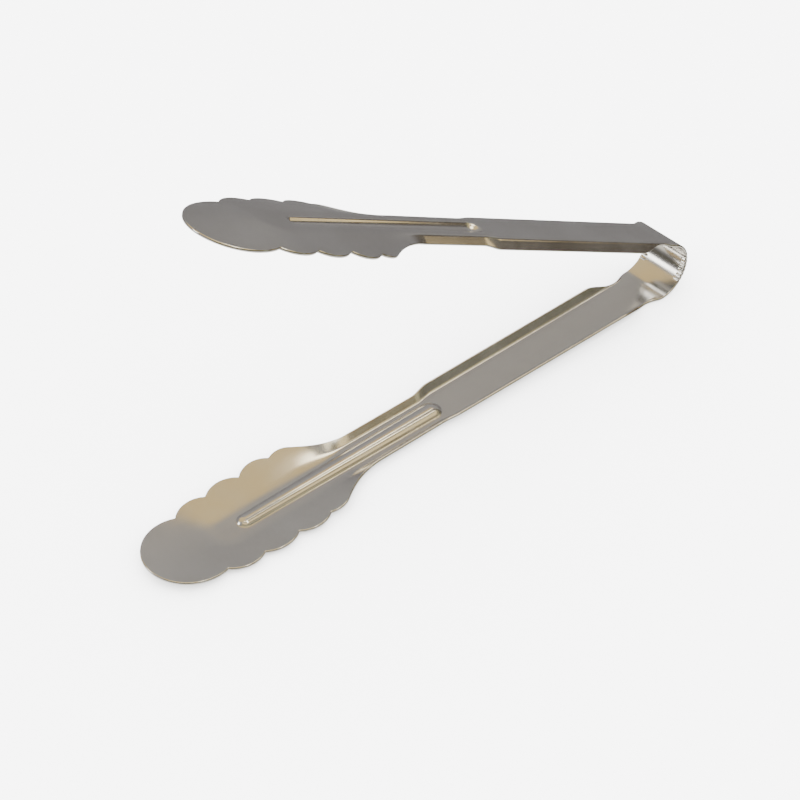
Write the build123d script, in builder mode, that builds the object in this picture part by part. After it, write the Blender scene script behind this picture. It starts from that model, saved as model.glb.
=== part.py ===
"""Sprung serving tongs, pressed and bent from one strip of stainless steel sheet.

Two mirror-image arms grow out of one U-bend. The bend is the spring: its middle carries
seven short flutes crimped into each edge, and that fluted stretch flexes when the arms are
squeezed. Each pair of flutes is on a short segment of its own here, so that the strip can
close in equal small steps, as the real leaf does.

Millimetres, +Z up. The lower arm lies on its back on z = 0 and points along -X.
The origin is on the flat back of the lower handle, in the middle of its grip.
"""
from build123d import *
import math
import os

os.makedirs("parts", exist_ok=True)

# ---- driving dimensions ------------------------------------------------------------
sheet = 1.0                  # thickness of the steel
bend_radius = 12.0           # outside radius of the U-bend
opening = 27.13              # angle between the two arms when free, degrees
grip_to_bend = 55.0          # origin to the point where the flat handle meets the bend

# stations are distances along an arm, from the bend towards the tip
flange_start = 7.5           # where the side flanges begin to rise
flange_full = 21.0           # where they have reached full height
handle_end = 102.4           # end of the wide handle channel
neck_start = 110.0           # start of the narrow neck channel
neck_end = 140.0             # where the neck starts to spread into the head
dish_start = 172.0           # from here the head has one constant section
dish_end = 197.0             # from here the section is turned about its centre
tip_centre = 212.5           # centre of the round tip in plan
tip_radius = 15.4

strip_half = 10.0            # half width of the strip in the bend
waist_half = 8.3             # half width where the flanges begin
web_half_bend = 8.1          # half width of the handle's flat web, bend end
web_half_neck = 7.4          # the same at the handle's other end
handle_splay = 2.9           # how far a handle flange leans outwards
handle_rise = 3.8            # how high it stands, on its outside
neck_half = 6.2
neck_splay = 2.9
neck_rise = 2.7
knee_radius = 2.2            # outside radius between web and flange
floor_half = 6.0             # half width of the head's flat floor, at the crease lines
floor_radius = 30.0          # soft crease between floor and wings
wing_slope = 0.145           # rise of a wing for each millimetre outwards
rim_height = 2.3             # height of the rim where the neck spreads into the head
# that spread: station, half width at the rim, radius of the crease beside the floor
spread = [(147.0, 10.4, 4.4), (154.0, 13.2, 6.6), (161.0, 17.0, 15.0)]

# edge of the head in plan, as stations and half widths: notches between round lobes
notches = [(207.4, 14.7), (194.0, 16.5), (180.1, 16.5), (167.1, 17.0)]
lobe_bulge = 2.5
last_lobe = (163.0, 17.8)    # crown of the lobe nearest the neck
shoulder = (158.3, 15.9)     # where that lobe turns into the shoulder
shoulder_hollow = (149.6, 11.2)
neck_edge = 9.8              # half width over the neck's flanges
shoulder_slopes = (0.75, 0.05)
handle_clearance = 14.0      # half width that clears the handle's flanges

# stiffening rib pressed up along the centre of the neck and head
rib_start = 104.8
rib_end = 192.6
rib_half_neck = 4.0
rib_rise_neck = 2.0
rib_half_nose = 2.9
rib_rise_nose = 1.7

# fluted stretch of the bend
flute_count = 7
flute_pitch = 9.0            # degrees of the bend
flute_height = 0.3
flute_radius = 0.55
flute_length = 2.5           # from the strip's edge inwards

# ---- worked out from them ----------------------------------------------------------
turn = 180.0 - opening                                # degrees that the bend turns
leaf_turn = (turn - flute_count * flute_pitch) / 2    # plain leaf on each side
bend_inner = bend_radius - sheet
overrun = 2.0                                         # a wing runs this far past the outline
dish_splay = tip_centre + tip_radius - dish_end + overrun - floor_half
far = 40.0                                            # larger than any section


def station(distance):
    """X of a station along the lower arm."""
    return grip_to_bend - distance


def cross_plane(distance):
    """Plane across the lower arm: local x is Y, local y is Z."""
    return Plane(origin=(station(distance), 0, 0), x_dir=(0, 1, 0), z_dir=(1, 0, 0))


def channel_edges(half, splay, rise, radius, sides=(-1, 1)):
    """Edges of a sheet channel's section: flat web, rounded knees, leaning flanges."""
    angle = math.atan2(rise, splay)
    length = math.hypot(splay, rise)
    knee_in = half - sheet * math.tan(angle / 2)
    tip = (half + splay, rise)
    tip_in = (half + splay - sheet * rise / length, rise + sheet * splay / length)
    for corner, end, up, bend in ((half, tip, 0, radius), (knee_in, tip_in, sheet, radius - sheet)):
        reach = bend * math.tan(angle / 2)
        start = (corner - reach, up)
        middle = (start[0] + bend * math.sin(angle / 2), up + bend * (1 - math.cos(angle / 2)))
        finish = (corner + reach * math.cos(angle), up + reach * math.sin(angle))
        for side in sides:
            points = [(side * x, y) for x, y in (start, middle, finish, end)]
            ThreePointArc(points[0], points[1], points[2])
            Line(points[2], points[3])
        Line((start[0] * min(0, *sides), up), start)
    for side in sides:
        Line((side * tip[0], tip[1]), (side * tip_in[0], tip_in[1]))


def channel_section(distance, half, splay, rise, radius):
    """Sheet section of a shallow channel, square to the lower arm."""
    with BuildSketch(cross_plane(distance)) as section:
        with BuildLine():
            channel_edges(half, splay, rise, radius)
        make_face()
    return section.sketch


def handle_section(distance):
    """Section of the handle channel, whose web narrows towards the neck."""
    share = distance / handle_end
    half = web_half_bend + (web_half_neck - web_half_bend) * share
    return channel_section(distance, half, handle_splay, handle_rise, knee_radius)


def neck_section(distance):
    """Section of the neck channel."""
    return channel_section(distance, neck_half, neck_splay, neck_rise, knee_radius)


def spread_section(distance, rim_half, radius):
    """Section of the spread: wings that pass through the rim and run on past the outline."""
    slope = rim_height / (rim_half - floor_half)
    splay = rim_half - floor_half + overrun
    return channel_section(distance, floor_half, splay, splay * slope, radius)


def dish_section(distance):
    """Section of the shallow dish, far wider than its outline."""
    return channel_section(distance, floor_half, dish_splay, dish_splay * wing_slope, floor_radius)


def rib_body(inset):
    """Tapered round bar with ball ends; inset 1 sheet gives the hollow behind the rib."""
    centres = []
    radii = []
    for distance, half, rise in (
        (rib_start + rib_half_neck, rib_half_neck, rib_rise_neck),
        (rib_end - rib_half_nose, rib_half_nose, rib_rise_nose),
    ):
        radius = (half**2 + rise**2) / (2 * rise)
        centres.append(Vector(station(distance), 0, sheet + rise - radius))
        radii.append(radius - inset)
    along = centres[1] - centres[0]
    with BuildPart() as bar:
        with Locations(Plane(origin=centres[0], z_dir=along)):
            Cone(radii[0], radii[1], along.length, align=(Align.CENTER, Align.CENTER, Align.MIN))
        for centre, radius in zip(centres, radii):
            with Locations(Plane(origin=centre, z_dir=(0, 1, 0))):
                Sphere(radius)
    return bar.part


def head_outline(side):
    """Edge of one side of the arm in plan, from the neck to the tip."""
    points = [(station(s), side * t) for s, t in notches]
    tip = (station(tip_centre + tip_radius), 0)
    diagonal = math.sqrt(0.5) * tip_radius
    shoulder_point = (station(shoulder[0]), side * shoulder[1])
    neck_point = (station(neck_end), side * neck_edge)
    ThreePointArc(tip, (station(tip_centre + diagonal), side * diagonal), points[0])
    for start, end in zip(points, points[1:]):
        along = Vector(*end) - Vector(*start)
        outward = Vector(-along.Y, along.X).normalized()
        if outward.Y * side < 0:
            outward = outward * -1
        middle = (Vector(*start) + Vector(*end)) * 0.5
        ThreePointArc(start, middle + outward * lobe_bulge, end)
    ThreePointArc(points[-1], (station(last_lobe[0]), side * last_lobe[1]), shoulder_point)
    Spline(
        shoulder_point,
        (station(shoulder_hollow[0]), side * shoulder_hollow[1]),
        neck_point,
        tangents=[(1, -side * slope) for slope in shoulder_slopes],
    )
    Polyline(
        neck_point,
        (station(neck_end), side * handle_clearance),
        (station(-far), side * handle_clearance),
        (station(-far), 0),
    )


# ---- one arm -----------------------------------------------------------------------
bend_centre = (grip_to_bend, bend_radius)
ridge = split(rib_body(0), bisect_by=Plane.XY.offset(sheet / 2), keep=Keep.TOP)
groove = rib_body(sheet)

# bowl of the tip: the dish's half section turned about the end of the head
with BuildPart() as tip_quarter:
    with BuildSketch(cross_plane(dish_end)) as half_section:
        with BuildLine():
            channel_edges(floor_half, dish_splay, dish_splay * wing_slope, floor_radius, sides=(1,))
            Line((0, 0), (0, sheet))
        make_face()
    revolve(axis=Axis((station(dish_end), 0, 0), (0, 0, 1)), revolution_arc=90)

with BuildPart() as lower_arm:
    # plain leaf: the first part of the bend, at the strip's full width
    with BuildSketch(Plane.XZ) as leaf:
        with BuildLine():
            outer = CenterArc(bend_centre, bend_radius, -90, leaf_turn)
            inner = CenterArc(bend_centre, bend_inner, -90, leaf_turn)
            Line(outer @ 0, inner @ 0)
            Line(outer @ 1, inner @ 1)
        make_face()
    extrude(amount=strip_half, both=True)
    # flat strip, narrowing from the bend to the waist between the flange ends
    with BuildSketch() as strip:
        with BuildLine():
            for side in (-1, 1):
                Spline(
                    (station(0), side * strip_half),
                    (station(flange_start), side * waist_half),
                    tangents=[(-1, 0), (-1, 0)],
                )
                Line((station(flange_start), side * waist_half), (station(flange_full), side * waist_half))
            Line((station(0), -strip_half), (station(0), strip_half))
            Line((station(flange_full), -waist_half), (station(flange_full), waist_half))
        make_face()
    extrude(amount=sheet)
    # handle channel, its flanges trimmed to a long ramp at the bend end
    loft([handle_section(flange_start), handle_section(handle_end)])
    with BuildSketch(Plane.XZ) as above_ramp:
        with BuildLine():
            ramp = Spline(
                (station(flange_start), sheet),
                (station(flange_full), handle_rise + sheet),
                tangents=[(-1, 0.1), (-1, 0.1)],
            )
            Polyline(ramp @ 1, (station(flange_full), far), (station(0), far), (station(0), sheet), ramp @ 0)
        make_face()
    extrude(amount=far, both=True, mode=Mode.SUBTRACT)
    # jog down to the neck, the neck itself, and its spread into the head
    loft([handle_section(handle_end), neck_section(neck_start)])
    loft([neck_section(neck_start), neck_section(neck_end)])
    spread_sections = [spread_section(*values) for values in spread]
    loft([neck_section(neck_end), *spread_sections, dish_section(dish_start)], ruled=True)
    # shallow dish with one section along the head, turned about its end to make the tip
    extrude(dish_section(dish_end), amount=dish_end - dish_start)
    add(tip_quarter.part)
    add(mirror(tip_quarter.part, about=Plane.XZ))
    # blank outline: scalloped head, straight past the handle
    with BuildSketch() as outline:
        with BuildLine():
            head_outline(-1)
            head_outline(1)
        make_face()
    extrude(amount=far, both=True, mode=Mode.INTERSECT)
    # rib pressed up along the middle, hollow on the back
    add(ridge)
    add(groove, mode=Mode.SUBTRACT)
lower_arm.part.label = "lower_arm"
export_step(lower_arm.part, "parts/lower_arm.step")

# ---- the other arm: mirror image about the plane that halves the opening -------------
half_opening = math.radians(opening / 2)
halving_plane = Plane(
    origin=(grip_to_bend, 0, bend_radius),
    z_dir=(math.sin(half_opening), 0, math.cos(half_opening)),
)
with BuildPart() as upper_arm:
    add(mirror(lower_arm.part, about=halving_plane))
upper_arm.part.label = "upper_arm"
export_step(upper_arm.part, "parts/upper_arm.step")

# ---- fluted segments of the bend ---------------------------------------------------
# a flute stands out on the inside of the bend and is hollow on the outside
crest_reach = bend_inner - flute_height + flute_radius
hollow_reach = crest_reach + sheet
for number in range(1, flute_count + 1):
    first = -90 + leaf_turn + (number - 1) * flute_pitch
    middle = math.radians(first + flute_pitch / 2)
    outward = Vector(math.cos(middle), math.sin(middle))
    crest_centre = Vector(*bend_centre) + outward * crest_reach
    hollow_centre = Vector(*bend_centre) + outward * hollow_reach
    with BuildPart() as segment:
        with BuildSketch(Plane.XZ) as profile:
            with BuildLine():
                outer = CenterArc(bend_centre, bend_radius, first, flute_pitch)
                inner = CenterArc(bend_centre, bend_inner, first, flute_pitch)
                Line(outer @ 0, inner @ 0)
                Line(outer @ 1, inner @ 1)
            make_face()
        extrude(amount=strip_half, both=True)
        for side in (-1, 1):
            edge_plane = Plane.XZ.offset(side * strip_half)
            with BuildSketch(edge_plane):
                with Locations(crest_centre):
                    Circle(flute_radius)
            extrude(amount=-side * flute_length)
            with BuildSketch(edge_plane):
                with Locations(hollow_centre):
                    Circle(flute_radius)
            extrude(amount=-side * flute_length, mode=Mode.SUBTRACT)
    segment.part.label = f"spring_segment_{number}"
    export_step(segment.part, f"parts/spring_segment_{number}.step")
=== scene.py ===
"""Sprung serving tongs, pressed and bent from one strip of bright stainless sheet."""
import bpy
import math
import numpy as np
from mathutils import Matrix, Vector
from mathutils.geometry import delaunay_2d_cdt


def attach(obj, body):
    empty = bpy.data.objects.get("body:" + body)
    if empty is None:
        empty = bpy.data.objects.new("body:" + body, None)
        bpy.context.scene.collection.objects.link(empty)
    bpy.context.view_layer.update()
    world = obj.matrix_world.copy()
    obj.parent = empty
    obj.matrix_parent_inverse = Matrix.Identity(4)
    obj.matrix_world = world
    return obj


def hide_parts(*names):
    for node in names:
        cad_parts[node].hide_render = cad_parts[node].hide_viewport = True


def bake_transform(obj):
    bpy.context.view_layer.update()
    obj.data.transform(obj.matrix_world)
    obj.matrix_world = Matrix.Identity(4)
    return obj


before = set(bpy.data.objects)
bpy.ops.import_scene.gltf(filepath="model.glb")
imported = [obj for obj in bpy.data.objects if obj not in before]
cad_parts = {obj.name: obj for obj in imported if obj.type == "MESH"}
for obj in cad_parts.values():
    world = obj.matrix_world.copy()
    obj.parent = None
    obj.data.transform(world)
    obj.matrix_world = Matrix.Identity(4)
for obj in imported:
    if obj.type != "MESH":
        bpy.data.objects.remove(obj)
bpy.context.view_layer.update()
scene = bpy.context.scene

# ---- studio: a plain pale floor, one large soft lamp, and a room that only bright steel sees ----
# The tongs lie free on the floor in even daylight. What the steel mirrors is a warm room painted
# by direction alone. The camera stands over the tips and looks down along the arms.
MM = 0.001
CAMERA_PLACE = Vector((-0.3579, -0.3333, 0.4106))
CAMERA_AIM = Vector((0.48893, 0.56156, -0.66753))
LENS = 78.4
FLOOR_COLOUR = (0.9, 0.9, 0.9, 1)
FLOOR_ROUGHNESS = 0.9
FLOOR_REACH = 0.6                # half the floor's side
DAYLIGHT = 9.0                   # strength of the even light on everything but mirrors
LAMP_PLACE = (0.1, 0.2, 1.2)
LAMP_DIAMETER = 1.2
LAMP_POWER = 6
# the wall behind the camera in level bands: from and to (as the sine of the elevation), and its paint
NEAR_WALL = [
    (-0.70, -0.45, (0.13, 0.11, 0.085, 1)),
    (-0.02, 0.02, (0.09, 0.07, 0.045, 1)),
    (0.28, 0.36, (0.17, 0.155, 0.09, 1)),
    (0.44, 0.50, (0.62, 0.54, 0.28, 1)),
    (0.56, 0.60, (0.16, 0.125, 0.05, 1)),
    (0.64, 0.68, (1.5, 1.2, 0.62, 1)),
    (0.80, 0.84, (0.22, 0.17, 0.07, 1)),
    (0.88, 0.92, (2.6, 2.3, 1.6, 1)),
    (0.955, 0.98, (0.9, 0.68, 0.30, 1)),
]
# the wall beyond the bend, in the same way
FAR_WALL = [
    (-0.60, -0.35, (0.26, 0.25, 0.25, 1)),
    (0.0, 0.45, (0.40, 0.385, 0.37, 1)),
    (0.50, 0.66, (0.47, 0.44, 0.40, 1)),
    (0.74, 0.80, (1.05, 0.78, 0.36, 1)),
]
UNDERNEATH = (1.4, 1.35, 1.2, 1)  # everything below the lowest band
WALL_SEAM = 0.12                 # half width of the soft change from one wall to the other
# windows and cards: paint, azimuth, elevation, and the angles within which each is full and
# beyond which it is gone, all in degrees
CARDS = [
    ((7.0, 6.8, 6.0, 1), -75, 60, 5, 9),
    ((6.5, 5.8, 4.2, 1), 2, 61, 9, 13),
    ((1.05, 0.78, 0.36, 1), 118, 43, 22, 27),
    ((9.0, 9.0, 8.6, 1), 144, 14, 7, 10),
    ((0.10, 0.09, 0.06, 1), 146, -9, 6, 10),
    ((1.25, 1.35, 0.95, 1), -48, 8, 4, 7),
    ((1.7, 1.3, 0.6, 1), -20, 12, 3, 6),
]


class Wire:
    """A node socket that can be used in sums, products, soft steps and colour mixes."""

    def __init__(self, tree, socket):
        self.tree = tree
        self.socket = socket

    def node(self, kind, settings=None, inputs=None, output=0):
        made = self.tree.nodes.new(kind)
        for name, value in (settings or {}).items():
            setattr(made, name, value)
        for name, value in (inputs or {}).items():
            if isinstance(value, Wire):
                self.tree.links.new(value.socket, made.inputs[name])
            else:
                made.inputs[name].default_value = value
        return Wire(self.tree, made.outputs[output]) if made.outputs else None

    def maths(self, operation, *values):
        return self.node("ShaderNodeMath", {"operation": operation}, dict(enumerate(values)))

    def __add__(self, other):
        return self.maths("ADD", self, other)

    def __radd__(self, other):
        return self.maths("ADD", other, self)

    def __sub__(self, other):
        return self.maths("SUBTRACT", self, other)

    def __rsub__(self, other):
        return self.maths("SUBTRACT", other, self)

    def __mul__(self, other):
        return self.maths("MULTIPLY", self, other)

    def __truediv__(self, other):
        return self.maths("DIVIDE", self, other)

    def between(self, low, high):
        """0 below low, 1 above high, and a soft step from one to the other."""
        settings = {"interpolation_type": "SMOOTHSTEP"}
        limits = {"Value": self, "From Min": low, "From Max": high}
        return self.node("ShaderNodeMapRange", settings, limits)

    def mix(self, first, second):
        """Colour mix: first where this is 0, second where it is 1."""
        settings = {"data_type": "RGBA"}
        return self.node("ShaderNodeMix", settings, {"Factor": self, 6: first, 7: second}, output=2)


def room(tree):
    """The room as the steel mirrors it, by direction: two banded walls, windows and cards."""
    blank = Wire(tree, None)
    direction = blank.node("ShaderNodeTexCoord", output=0)

    def toward(azimuth, elevation):
        """How nearly the mirrored ray goes that way: 1 straight there, 0 square to it."""
        a, e = math.radians(azimuth), math.radians(elevation)
        way = (math.cos(a) * math.cos(e), math.sin(a) * math.cos(e), math.sin(e))
        settings = {"operation": "DOT_PRODUCT"}
        return blank.node("ShaderNodeVectorMath", settings, {0: direction, 1: way}, output=1)

    def card(colour, under, azimuth, elevation, full, none):
        near = toward(azimuth, elevation)
        share = near.between(math.cos(math.radians(none)), math.cos(math.radians(full)))
        return share.mix(under, colour)

    def banded(height, bands):
        paint = UNDERNEATH
        for low, high, above in bands:
            paint = height.between(low, high).mix(paint, above)
        return paint

    height = toward(0, 90)
    nearer = toward(-90, 0).between(-WALL_SEAM, WALL_SEAM)
    colour = nearer.mix(banded(height, FAR_WALL), banded(height, NEAR_WALL))
    for paint, azimuth, elevation, full, none in CARDS:
        colour = card(paint, colour, azimuth, elevation, full, none)
    return colour


world = bpy.data.worlds.new("studio")
scene.world = world
world.use_nodes = True
tree = world.node_tree
tree.nodes.clear()
start = Wire(tree, None)
glossy = start.node("ShaderNodeLightPath", output="Is Glossy Ray")
plain = start.node("ShaderNodeBackground", inputs={"Color": FLOOR_COLOUR, "Strength": DAYLIGHT})
mirrored = start.node("ShaderNodeBackground", inputs={"Color": room(tree), "Strength": 1.0})
both = start.node("ShaderNodeMixShader", inputs={0: glossy, 1: plain, 2: mirrored})
start.node("ShaderNodeOutputWorld", inputs={"Surface": both})

floor_mesh = bpy.data.meshes.new("floor")
floor_corners = [(x * FLOOR_REACH, y * FLOOR_REACH, 0) for x, y in ((-1, -1), (1, -1), (1, 1), (-1, 1))]
floor_mesh.from_pydata(floor_corners, [], [(0, 1, 2, 3)])
floor = bpy.data.objects.new("floor", floor_mesh)
scene.collection.objects.link(floor)
floor_paint = bpy.data.materials.new("floor_paint")
floor_paint.use_nodes = True
floor_shader = floor_paint.node_tree.nodes["Principled BSDF"]
floor_shader.inputs["Base Color"].default_value = FLOOR_COLOUR
floor_shader.inputs["Roughness"].default_value = FLOOR_ROUGHNESS
floor_mesh.materials.append(floor_paint)
floor.visible_glossy = False

lamp = bpy.data.objects.new("soft_lamp", bpy.data.lights.new("soft_lamp", "AREA"))
lamp.data.shape = "DISK"
lamp.data.size = LAMP_DIAMETER
lamp.data.energy = LAMP_POWER
lamp.location = LAMP_PLACE
lamp.visible_glossy = False
scene.collection.objects.link(lamp)

camera = bpy.data.objects.new("camera", bpy.data.cameras.new("camera"))
camera.data.lens = LENS
camera.data.clip_start = 0.01
camera.location = CAMERA_PLACE
camera.rotation_mode = "QUATERNION"
camera.rotation_quaternion = CAMERA_AIM.to_track_quat("-Z", "Y")
scene.collection.objects.link(camera)
scene.camera = camera


# ---- arms: two mirror-image pressings, each with its handle, neck, rib and scalloped head ----
# Bright rolled stainless sheet 1 mm thick. Each arm is blanked to its outline, its sides are turned
# up as flanges, the rib is pressed into the neck and head, and the cut edge is tumbled smooth.

# Sizes are in millimetres, in the arm's own coordinates: s is the station along it, 0 where the
# bend ends and rising towards the tip, t is the distance to one side, and n is the height.
SHEET = 1.0
BEND_RADIUS = 12.0
BEND_X = 55.0
OPENING = math.radians(27.13)
FLUTE_PITCH = math.radians(9.0)
FLUTES = 7
LEAF_TURN = (math.pi - OPENING - FLUTES * FLUTE_PITCH) / 2
MIDDLE_RADIUS = BEND_RADIUS - SHEET / 2
EDGE = 0.25                      # how far the rounded edge stands out from the cut
EDGE_TRIM = 0.04                 # taken off by tumbling
EDGE_ROUNDNESS = 0.6             # power of the rounded edge's section: 1 would be an ellipse
STRIP_HALF = 10.0
WAIST_HALF = 8.3
WAIST_AT = 7.5                   # station of the narrowest part of the strip
FLANGES_UP = (1.0, 8.0)          # stations over which the flanges rise out of the flat strip
FULL_WIDTH_AT = 21.0             # station where the blank has its full flange
FLANGE_DEPTH = 2.9               # from knee to edge, measured across
HANDLE_HALF = 8.1                # the handle's web beside the bend, half its width
HANDLE_TAPER = 0.7               # by how much that narrows over the taper's length
TAPER_LENGTH = 102.4
HANDLE_END = 105.0               # station where the taper stops
JOG = (102.0, 110.0)             # stations between which the handle narrows to the neck
NECK_HALF = 6.2
NECK_TAPER = 0.2
NECK_TAPER_AT = (140.0, 150.0)
HANDLE_SLOPE = 1.31              # flange rise over run
NECK_SLOPE = 0.93
HEAD_SLOPE = 0.145
SPREAD_START = 139.0             # station where the neck begins to open into the head
SPREAD_LENGTH = 9.0              # how quickly it opens, and how softly that begins
SPREAD_SOFTNESS = 3.0
KNEE = 1.7                       # radius between web and flange in the channel
HEAD_KNEE = 27.8                 # by how much the knee grows in the head
DISH_CENTRE = 197.0              # beyond this station the dish is turned about one point
RIB = (108.8, 189.7)             # stations of the centres of the rib's two ball ends
RIB_HALF = 4.0                   # half the rib's width at the handle end
RIB_TAPER = 1.1
RIB_RISE = 2.0                   # its height there
RIB_FALL = 0.3
RIB_ROUND = 0.97                 # share of the crest's radius before its side runs straight
RIB_SIDE = 4.0                   # steepness of its sides
RIB_FOOT = 0.6                   # softness of its foot
RIB_LIMITS = (9.0, 6.0)          # from its line: where its foot is gone, and where still whole
TIP = 227.9
TIP_CENTRE = 212.5               # the round tip's centre and radius
TIP_RADIUS = 15.4
SHOULDER_START = 137.0
# the spreading edge between the neck and the first lobe, the lobes' notches, and the lobes
SHOULDER = [(SHOULDER_START, 9.1), (143.0, 9.35), (149.6, 11.1), (154.0, 13.25), (158.3, 15.9)]
FIRST_LOBE = (163.0, 17.8)
NOTCHES = [(167.1, 17.0), (180.1, 16.5), (194.0, 16.5), (207.4, 14.7)]
LOBE_BULGE = 2.5
# stations of the mesh's rows: from, to and spacing, closer where the shape turns more
ROWS = [(8, 24, 0.4), (24, 100, 0.9), (100, 113, 0.35), (113, 186, 0.45), (186, 196, 0.3),
        (196, TIP, 0.6)]
BEND_ROW_SPACING = 0.45          # spacing of the rows before those
RIM_GAP = 0.3                    # from the outline to the nearest point inside it
TIP_GAP = 0.55                   # the same round the tip, from station TIP_ROWS on
TIP_ROWS = 205
COLUMNS = 19                     # over half the rib, and as many from there past the knee
COLUMN_SPACING = 0.6             # spacing of the columns beyond those
RIB_COLUMNS_TO = 4.6             # how far the rib's columns reach, and their taper's share
RIB_COLUMNS_TAPER = 0.28
KNEE_MARGIN = 1.6                # how far the close columns go past the web
WIDEST = 19.5                    # more than half the head's width
START_LINE_POINTS = 34           # points across the cut at the bend, with its two corners


def ease(value, low, high):
    """0 at low, 1 at high, and a soft step from one to the other."""
    share = np.clip((value - low) / (high - low), 0, 1)
    return share * share * (3 - 2 * share)


def web_half(s):
    """Half width of the flat web between the knees."""
    handle = HANDLE_HALF - HANDLE_TAPER * np.clip(s, 0, HANDLE_END) / TAPER_LENGTH
    neck = NECK_HALF - NECK_TAPER * ease(s, *NECK_TAPER_AT)
    return handle + (neck - handle) * ease(s, *JOG)


def spread(s):
    """1 in the neck, falling to 0 where the neck has opened out into the head."""
    u = np.clip(s - SPREAD_START, 0, None)
    return np.exp(-u * u / (SPREAD_LENGTH * (u + SPREAD_SOFTNESS)))


def flange_slope(s):
    channel = HANDLE_SLOPE + (NECK_SLOPE - HANDLE_SLOPE) * ease(s, *JOG)
    return HEAD_SLOPE + (channel - HEAD_SLOPE) * spread(s)


def knee_radius(s):
    return KNEE + HEAD_KNEE * (1 - spread(s)) ** 3


def along_rib(s):
    """0 at the rib's handle end, 1 at its head end."""
    return np.clip((s - RIB[0]) / (RIB[1] - RIB[0]), 0, 1)


def press(s, t):
    """Height of the middle of the sheet over the table, at station s and t to one side."""
    slope = flange_slope(s)
    angle = np.arctan(slope)
    radius = knee_radius(s)
    out = np.hypot(t, np.clip(s - DISH_CENTRE, 0, None))
    x = out - web_half(s) + radius * np.tan(angle / 2)
    bend = radius * np.sin(angle)
    curved = radius - np.sqrt(np.clip(radius**2 - np.clip(x, 0, bend) ** 2, 0, None))
    height = (curved + np.clip(x - bend, 0, None) * slope) * ease(s, *FLANGES_UP)
    # rib: a round bar's crest, ball-ended, with a soft foot
    half = RIB_HALF - RIB_TAPER * along_rib(s)
    rise = RIB_RISE - RIB_FALL * along_rib(s)
    crest_radius = (half**2 + rise**2) / (2 * rise)
    before, beyond = np.clip(RIB[0] - s, 0, None), np.clip(s - RIB[1], 0, None)
    away = np.sqrt(t**2 + before**2 + beyond**2)
    middle = crest_radius - SHEET / 2
    inner = np.minimum(away, RIB_ROUND * middle)
    top = SHEET / 2 + rise - crest_radius
    crest = top + np.sqrt(middle**2 - inner**2) - RIB_SIDE * (away - inner)
    rib = 0.5 * (crest + np.sqrt(crest**2 + RIB_FOOT**2))
    return SHEET / 2 + height + rib * ease(away, *RIB_LIMITS)


def arc_through(a, b, c, step=0.35):
    """Points along the circle through a, b and c, without the last."""
    (ax, ay), (bx, by), (cx, cy) = a, b, c
    double_area = 2 * (ax * (by - cy) + bx * (cy - ay) + cx * (ay - by))
    aa, bb, cc = ax**2 + ay**2, bx**2 + by**2, cx**2 + cy**2
    ux = (aa * (by - cy) + bb * (cy - ay) + cc * (ay - by)) / double_area
    uy = (aa * (cx - bx) + bb * (ax - cx) + cc * (bx - ax)) / double_area
    radius = math.hypot(ax - ux, ay - uy)
    first = math.atan2(ay - uy, ax - ux)
    turn = (math.atan2(cy - uy, cx - ux) - first + math.pi) % (2 * math.pi) - math.pi
    count = max(6, int(abs(turn) * radius / step))
    angles = [first + turn * i / count for i in range(count)]
    return [(ux + radius * math.cos(angle), uy + radius * math.sin(angle)) for angle in angles]


def smooth_through(knots, steps=13):
    """Points on a smooth curve through the knots, level at the first, without the last."""
    slopes = np.gradient(knots[:, 1], knots[:, 0])
    slopes[0] = 0.0
    points = []
    for i in range(len(knots) - 1):
        width = knots[i + 1, 0] - knots[i, 0]
        for x in np.linspace(0, 1, steps + 1)[:-1]:
            start = knots[i, 1] * (1 + 2 * x) * (1 - x) ** 2
            end = knots[i + 1, 1] * x * x * (3 - 2 * x)
            lean = slopes[i] * x * (1 - x) ** 2 - slopes[i + 1] * x * x * (1 - x)
            points.append((knots[i, 0] + width * x, start + end + width * lean))
    return points


def edge_line(first):
    """Outline of one side of the blank from station first to the tip, as points (s, t)."""
    s = np.arange(first, SHOULDER_START, 0.4)
    strip = STRIP_HALF + (WAIST_HALF - STRIP_HALF) * ease(s, 0.0, WAIST_AT)
    full = web_half(s) + FLANGE_DEPTH
    flanged = WAIST_HALF + (full - WAIST_HALF) * ease(s, WAIST_AT, FULL_WIDTH_AT)
    points = list(zip(s, np.where(s < WAIST_AT, strip, flanged)))
    points += smooth_through(np.array(SHOULDER))
    points += arc_through(SHOULDER[-1], FIRST_LOBE, NOTCHES[0])
    for a, b in zip(NOTCHES, NOTCHES[1:]):
        chord = np.array(b) - np.array(a)
        outward = np.array([-chord[1], chord[0]]) / np.hypot(*chord)
        middle = (np.array(a) + np.array(b)) / 2 + outward * LOBE_BULGE
        points += arc_through(a, tuple(middle), b)
    diagonal = TIP_RADIUS * math.sqrt(0.5)
    points += arc_through(NOTCHES[-1], (TIP_CENTRE + diagonal, diagonal), (TIP, 0.0))
    outline = np.array(points)
    # the sheet's middle ends short of the outer corner, by its lean and by the rounded edge
    raised = ease(outline[:, 0], WAIST_AT, FULL_WIDTH_AT)
    lean = np.arctan(flange_slope(outline[:, 0]) * raised)
    short = EDGE + EDGE_TRIM + SHEET / 2 * np.sin(lean)
    along = np.gradient(outline, axis=0)
    along /= np.linalg.norm(along, axis=1)[:, None]
    outline[:, 0] += along[:, 1] * short
    outline[:, 1] -= along[:, 0] * short
    outline[0, 0] = first
    return outline


def surface(s, t):
    """Middle surface and its unit normal, in arm coordinates (s, t, n)."""
    h = 0.01
    n = press(s, t)
    ds = (press(s + h, t) - press(s - h, t)) / (2 * h)
    dt = (press(s, t + h) - press(s, t - h)) / (2 * h)
    normal = np.stack([-ds, -dt, np.ones_like(n)], -1)
    normal /= np.linalg.norm(normal, axis=-1)[:, None]
    return np.stack([s, t, n], -1), normal


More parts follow.
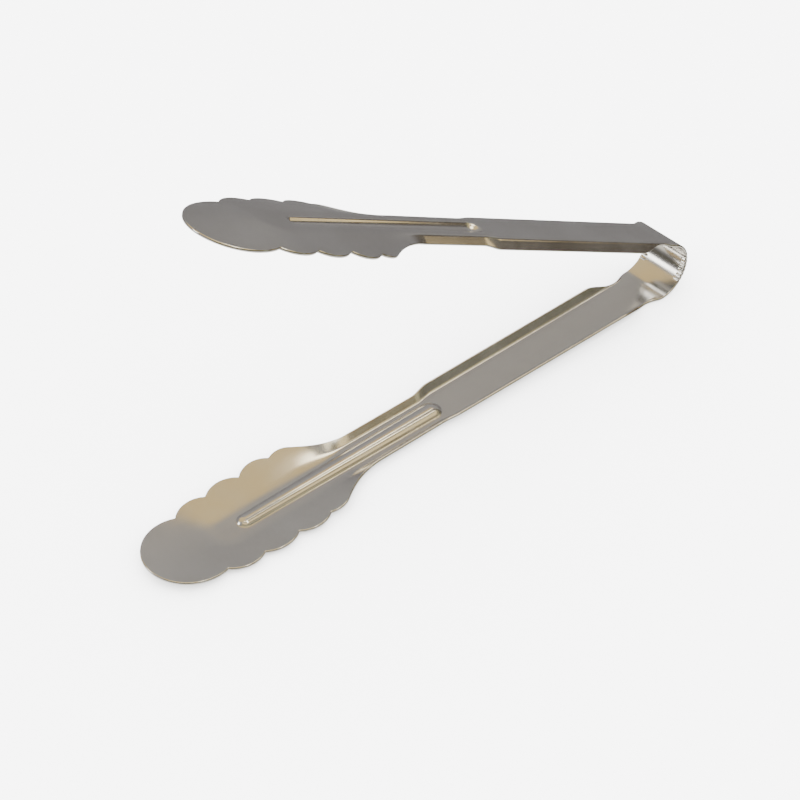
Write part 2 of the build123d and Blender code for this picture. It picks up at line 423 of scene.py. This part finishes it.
def wrap(points):
    """Arm coordinates to the lower arm's place: flat past the bend, rolled round it before."""
    s, t, n = points.T
    turn = np.clip(-s, 0, None) / MIDDLE_RADIUS
    radius = BEND_RADIUS - n
    x = BEND_X - np.clip(s, 0, None) + radius * np.sin(turn)
    z = BEND_RADIUS - radius * np.cos(turn)
    return np.stack([x, -t, z], -1)


def wrap_normals(points, normals):
    """The same turn for the normals at those points."""
    turn = np.clip(-points[:, 0], 0, None) / MIDDLE_RADIUS
    s, t, n = normals.T
    x = -s * np.cos(turn) - n * np.sin(turn)
    z = -s * np.sin(turn) + n * np.cos(turn)
    return np.stack([x, -t, z], -1)


def mirrored_over(points, direction_only=False):
    """The other side of the plane that halves the opening."""
    normal = np.array([math.sin(OPENING / 2), 0, math.cos(OPENING / 2)])
    centre = np.array([BEND_X, 0, BEND_RADIUS]) * (0 if direction_only else 1)
    return points - 2 * ((points - centre) @ normal)[:, None] * normal


def edge_profile(count=7):
    """The rounded cut edge: (how far out, how high), from the top face to the bottom face."""
    turns = np.linspace(0, math.pi, count + 2)[1:-1]
    out = EDGE * np.sin(turns) ** EDGE_ROUNDNESS
    high = SHEET / 2 * np.sign(np.cos(turns)) * np.abs(np.cos(turns)) ** EDGE_ROUNDNESS
    return list(zip(out, high))


def polygon_area(points):
    x, y = np.array(points).T
    return 0.5 * float(np.sum(x * np.roll(y, -1) - y * np.roll(x, -1)))


def inner_points(first, side):
    """Mesh points inside the outline, in rows whose columns run along the rib and the knees."""
    stretches = [(first + RIM_GAP, ROWS[0][0], BEND_ROW_SPACING), *ROWS]
    rows = np.concatenate([np.arange(*stretch) for stretch in stretches])
    order = np.argsort(side[:, 0])
    inside = []
    for s in rows:
        past_knee = float(web_half(s)) + KNEE_MARGIN
        rib_edge = RIB_COLUMNS_TO * (1 - RIB_COLUMNS_TAPER * along_rib(s))
        on_rib = np.linspace(0, rib_edge, COLUMNS)
        on_web = np.linspace(rib_edge, past_knee, COLUMNS)[1:]
        on_flange = np.arange(past_knee + 0.5, WIDEST, COLUMN_SPACING)
        columns = np.concatenate([on_rib, on_web, on_flange])
        kept = columns[columns < np.interp(s, side[order, 0], side[order, 1]) - RIM_GAP]
        if s > TIP_ROWS:
            kept = kept[np.hypot(s - TIP_CENTRE, kept) < TIP_RADIUS - TIP_GAP]
        inside += [(s, t) for t in kept] + [(s, -t) for t in kept[1:]]
    return inside


def pressed_arm(first):
    """Vertices, normals and faces of one arm, from station first to the tip."""
    side = edge_line(first)
    far = side[::-1] * [1, -1]
    far = far[1:] if abs(far[0, 1]) < 1e-6 else far
    across = np.linspace(-side[0, 1], side[0, 1], START_LINE_POINTS)[1:-1]
    start_line = np.stack([np.full_like(across, first), across], -1)
    loop = np.concatenate([side, far, start_line])
    loop = loop[::-1] if polygon_area(loop) < 0 else loop
    flat = [Vector(p) for p in loop] + [Vector(p) for p in inner_points(first, side)]
    ring = [(i, (i + 1) % len(loop)) for i in range(len(loop))]
    made, _, triangles, sources, _, _ = delaunay_2d_cdt(flat, ring, [], 1, 1e-5)
    plan = np.array([tuple(p) for p in made])
    where = {source: i for i, found in enumerate(sources) for source in found}
    rim = np.array([where[i] for i in range(len(loop))])
    middle, normal = surface(plan[:, 0], plan[:, 1])
    count = len(plan)
    # top and bottom faces, then the rounded edge as rings between their rims
    along = np.roll(middle[rim], -1, 0) - np.roll(middle[rim], 1, 0)
    outward = np.cross(along, normal[rim])
    outward /= np.linalg.norm(outward, axis=1)[:, None]
    points = [middle + normal * SHEET / 2, middle - normal * SHEET / 2]
    normals = [normal, -normal]
    loops = [rim]
    for i, (out, high) in enumerate(edge_profile()):
        points.append(middle[rim] + outward * out + normal[rim] * high)
        lean = outward * max(out / EDGE, 0.05) + normal[rim] * high / (SHEET / 2)
        normals.append(lean / np.linalg.norm(lean, axis=1)[:, None])
        loops.append(2 * count + i * len(rim) + np.arange(len(rim)))
    loops.append(rim + count)
    faces = [tuple(f) for f in triangles] + [tuple(count + i for i in reversed(f)) for f in triangles]
    for upper, lower in zip(loops, loops[1:]):
        for i in range(len(rim)):
            j = (i + 1) % len(rim)
            faces.append((int(upper[i]), int(lower[i]), int(lower[j]), int(upper[j])))
    return np.concatenate(points), np.concatenate(normals), faces


def sheet_piece(name, points, normals, faces, material):
    """A smooth-shaded object in metres, with the pressing's own normals."""
    mesh = bpy.data.meshes.new(name)
    mesh.from_pydata((points * MM).tolist(), [], faces)
    mesh.polygons.foreach_set("use_smooth", [True] * len(mesh.polygons))
    mesh.normals_split_custom_set_from_vertices(normals.tolist())
    mesh.materials.append(material)
    piece = bpy.data.objects.new(name, mesh)
    scene.collection.objects.link(piece)
    return piece


STEEL_CLEAN = (0.64, 0.62, 0.59, 1)
STEEL_HAZED = (0.60, 0.585, 0.56, 1)
ROLLING_LINES = (60, 2500, 60)   # how fast the lines change along, across and through the sheet
LINE_DEPTH = 0.0002
LINE_STRENGTH = 0.006
HAZE_SCALE = 55.0
ROUGHNESS = 0.13                 # of the clean mirror, and what the lines and the haze add
LINE_ROUGHNESS = 0.05
HAZE_ROUGHNESS = 0.07


def bright_steel():
    """Bright rolled stainless: a clear mirror with faint rolling lines and uneven haze."""
    material = bpy.data.materials.new("bright_steel")
    material.use_nodes = True
    tree = material.node_tree
    shader = tree.nodes["Principled BSDF"]
    blank = Wire(tree, None)
    place = blank.node("ShaderNodeTexCoord", output="Object")
    stretched = blank.node("ShaderNodeMapping", inputs={"Vector": place, "Scale": ROLLING_LINES})
    fine = {"Vector": stretched, "Scale": 1.0, "Detail": 4.0}
    lines = blank.node("ShaderNodeTexNoise", inputs=fine)
    broad = {"Vector": place, "Scale": HAZE_SCALE, "Detail": 5.0, "Roughness": 0.6}
    haze = blank.node("ShaderNodeTexNoise", inputs=broad)
    from_lines = (lines - 0.5) * LINE_ROUGHNESS
    rough = ROUGHNESS + from_lines + haze.between(0.35, 0.75) * HAZE_ROUGHNESS
    tint = haze.between(0.3, 0.7).mix(STEEL_CLEAN, STEEL_HAZED)
    relief = {"Height": lines, "Strength": LINE_STRENGTH, "Distance": LINE_DEPTH}
    bump = blank.node("ShaderNodeBump", inputs=relief)
    tree.links.new(tint.socket, shader.inputs["Base Color"])
    tree.links.new(rough.socket, shader.inputs["Roughness"])
    tree.links.new(bump.socket, shader.inputs["Normal"])
    shader.inputs["Metallic"].default_value = 1.0
    return material


steel = bright_steel()
arm_start = -(LEAF_TURN - FLUTE_PITCH / 2) * MIDDLE_RADIUS
arm_points, arm_normals, arm_faces = pressed_arm(arm_start)
placed = wrap(arm_points)
turned = wrap_normals(arm_points, arm_normals)
lower = sheet_piece("lower_arm_sheet", placed, turned, arm_faces, steel)
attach(lower, "lower_arm")
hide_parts("lower_arm")

flipped = [tuple(reversed(face)) for face in arm_faces]
raised = mirrored_over(placed)
raised_normals = mirrored_over(turned, direction_only=True)
upper = sheet_piece("upper_arm_sheet", raised, raised_normals, flipped, steel)
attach(upper, "upper_arm")
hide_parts("upper_arm")

# ---- spring strip: the fluted stretch of the bend, the tongs' spring leaf; here built as one fixed piece ----
# The same 1 mm steel at its full width, with seven short flutes crimped into each edge.
# It starts as a flat strip; a node group crimps the flutes into it and rolls it round the bend.
COLUMNS_PER_FLUTE = 20
POINTS_ACROSS = 61
# the node group's inputs, with lengths in metres and angles in radians
STRIP_SIZES = {
    "Middle Radius": MIDDLE_RADIUS * MM,
    "Start Angle": LEAF_TURN - FLUTE_PITCH / 2,
    "First Flute": LEAF_TURN,
    "Flute Pitch": FLUTE_PITCH,
    "Flutes": float(FLUTES),
    "Flute Share": 0.34,
    "Flute Height": 0.3 * MM,
    "Half Width": STRIP_HALF * MM,
    "Flute Length": 2.5 * MM,
    "Centre X": BEND_X * MM,
    "Centre Z": BEND_RADIUS * MM,
}


def crimp_and_roll():
    """Node group that crimps flutes into a flat strip's edges and rolls it round the bend."""
    group = bpy.data.node_groups.new("crimp_and_roll", "GeometryNodeTree")
    group.interface.new_socket(name="Geometry", in_out="INPUT", socket_type="NodeSocketGeometry")
    for name in STRIP_SIZES:
        group.interface.new_socket(name=name, in_out="INPUT", socket_type="NodeSocketFloat")
    group.interface.new_socket(name="Material", in_out="INPUT", socket_type="NodeSocketMaterial")
    group.interface.new_socket(name="Geometry", in_out="OUTPUT", socket_type="NodeSocketGeometry")
    blank = Wire(group, None)

    def given(name):
        return blank.node("NodeGroupInput", output=name)

    place = {0: blank.node("GeometryNodeInputPosition")}
    along, side, up = (blank.node("ShaderNodeSeparateXYZ", inputs=place, output=axis) for axis in "XYZ")
    angle = given("Start Angle") + along / given("Middle Radius")
    count = (angle - given("First Flute")) / given("Flute Pitch")
    off_centre = blank.maths("FRACT", count) - 0.5
    ridge = blank.maths("ABSOLUTE", off_centre).between(given("Flute Share"), 0.0)
    fluted = count.between(0.0, 0.1) * (given("Flutes") - count).between(0.0, 0.1)
    from_edge = given("Half Width") - blank.maths("ABSOLUTE", side)
    crimped = (from_edge / given("Flute Length")).between(1.1, 0.6)
    lift = given("Flute Height") * ridge * fluted * crimped
    radius = given("Middle Radius") - up - lift
    x = given("Centre X") + radius * blank.maths("SINE", angle)
    z = given("Centre Z") - radius * blank.maths("COSINE", angle)
    rolled = blank.node("ShaderNodeCombineXYZ", inputs={"X": x, "Y": 0.0 - side, "Z": z})
    moved = {"Geometry": given("Geometry"), "Position": rolled}
    shaped = blank.node("GeometryNodeSetPosition", inputs=moved)
    smooth = blank.node("GeometryNodeSetShadeSmooth", inputs={"Geometry": shaped})
    real = blank.node("GeometryNodeRealizeInstances", inputs={"Geometry": smooth})
    dressed = {"Geometry": real, "Material": given("Material")}
    painted = blank.node("GeometryNodeSetMaterial", inputs=dressed)
    blank.node("NodeGroupOutput", inputs={"Geometry": painted})
    return group


def flat_strip(columns):
    """An open-ended tube of flat sheet: x along the strip, y across it, z from its middle."""
    half = STRIP_HALF - EDGE
    across = np.linspace(half, -half, POINTS_ACROSS)
    section = [(t, SHEET / 2) for t in across]
    section += [(-half - out, high) for out, high in edge_profile()]
    section += [(t, -SHEET / 2) for t in across[::-1]]
    section += [(half + out, -high) for out, high in edge_profile()]
    length = (FLUTES + 1) * FLUTE_PITCH * MIDDLE_RADIUS
    stations = np.linspace(0, length, columns + 1)
    points = [(x * MM, t * MM, n * MM) for x in stations for t, n in section]
    size = len(section)
    faces = []
    for column in range(columns):
        for i in range(size):
            here, there = column * size, (column + 1) * size
            j = (i + 1) % size
            faces.append((here + i, here + j, there + j, there + i))
    mesh = bpy.data.meshes.new("flat_strip")
    mesh.from_pydata(points, [], faces)
    return mesh, size


def mesh_shape(mesh):
    """Points in millimetres, vertex normals and faces of a mesh."""
    points = np.empty(len(mesh.vertices) * 3)
    mesh.vertices.foreach_get("co", points)
    normals = np.empty(len(mesh.vertices) * 3)
    mesh.vertex_normals.foreach_get("vector", normals)
    faces = [tuple(face.vertices) for face in mesh.polygons]
    return points.reshape(-1, 3) / MM, normals.reshape(-1, 3), faces


flat_mesh, section_size = flat_strip((FLUTES + 1) * COLUMNS_PER_FLUTE)
blank_strip = bpy.data.objects.new("flat_strip", flat_mesh)
scene.collection.objects.link(blank_strip)
roller = blank_strip.modifiers.new("crimp_and_roll", "NODES")
roller.node_group = crimp_and_roll()
for socket in roller.node_group.interface.items_tree:
    if socket.in_out == "INPUT" and socket.name in STRIP_SIZES:
        roller[socket.identifier] = STRIP_SIZES[socket.name]
    elif socket.in_out == "INPUT" and socket.name == "Material":
        roller[socket.identifier] = steel
bpy.context.view_layer.update()
rolled_strip = blank_strip.evaluated_get(bpy.context.evaluated_depsgraph_get())
rolled_mesh = bpy.data.meshes.new_from_object(rolled_strip)
strip_points, strip_normals, strip_faces = mesh_shape(rolled_mesh)
bpy.data.objects.remove(blank_strip)
# close the tube's two ends
last_ring = len(strip_points) - section_size
strip_faces.append(tuple(reversed(range(section_size))))
strip_faces.append(tuple(range(last_ring, last_ring + section_size)))
strip = sheet_piece("spring_strip", strip_points, strip_normals, strip_faces, steel)


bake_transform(strip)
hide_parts(*(f"spring_segment_{number}" for number in range(1, FLUTES + 1)))
